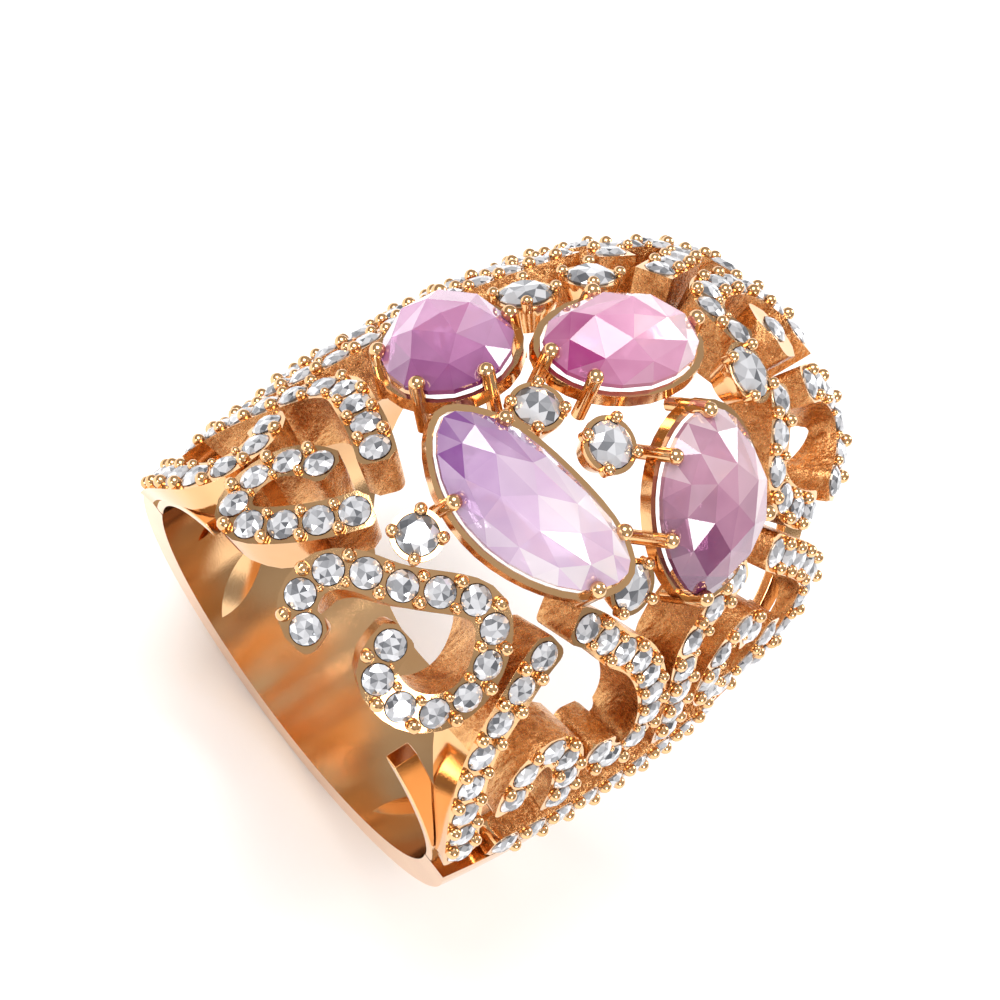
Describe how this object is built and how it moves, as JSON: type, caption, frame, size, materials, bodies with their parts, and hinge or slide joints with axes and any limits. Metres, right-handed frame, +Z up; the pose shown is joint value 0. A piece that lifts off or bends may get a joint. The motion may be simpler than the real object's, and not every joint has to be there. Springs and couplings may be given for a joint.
{
  "type": "cocktail ring",
  "caption": "Wide domed cocktail ring of open scrolled ribbons set with small diamonds round four rose-cut coloured stones, on a tapering pierced shank.",
  "frame": {"origin": "middle of the finger hole, on its axis and midway along it", "axes": "+Y along the finger, +Z up through the crown, +X across the finger"},
  "size_m": [0.0218, 0.0308, 0.0291],
  "materials": {
    "rose_gold": "polished, rough as cast inside the openwork",
    "diamond": "brilliant cut",
    "amethyst": "rose cut",
    "pink_sapphire": "rose cut",
    "lilac_amethyst": "rose cut",
    "mauve_amethyst": "rose cut"
  },
  "bodies": {
    "root": {"shank": "rose_gold", "bearer_strips": "rose_gold", "scroll_left_edge": "rose_gold", "scroll_left_return": "rose_gold", "scroll_left_bud": "rose_gold", "scroll_near_knot": "rose_gold", "scroll_right_edge": "rose_gold", "scroll_near_arch": "rose_gold", "scroll_right_crook": "rose_gold", "scroll_right_vine": "rose_gold", "scroll_far_right_edge": "rose_gold", "scroll_right_snail": "rose_gold", "scroll_right_leaf_near": "rose_gold", "scroll_right_leaf_far": "rose_gold", "scroll_far_curl": "rose_gold", "scroll_far_comma": "rose_gold", "scroll_far_left_leaf": "rose_gold", "scroll_left_vine": "rose_gold", "scroll_left_crook": "rose_gold", "scroll_left_snail": "rose_gold", "scroll_far_left_edge": "rose_gold", "scroll_far_left_brim": "rose_gold", "side_rail_right": "rose_gold", "side_rail_left": "rose_gold", "basket_round": "rose_gold", "basket_oval": "rose_gold", "basket_moon": "rose_gold", "basket_shield": "rose_gold", "accent_collets": "rose_gold", "gem_round": "amethyst", "gem_oval": "pink_sapphire", "gem_moon": "lilac_amethyst", "gem_shield": "mauve_amethyst", "accent_diamonds": "diamond", "pave_near": "diamond", "pave_right": "diamond", "pave_left": "diamond", "pave_far": "diamond", "beads_near": "rose_gold", "beads_right": "rose_gold", "beads_left": "rose_gold", "beads_far": "rose_gold"}
  },
  "joints": []
}
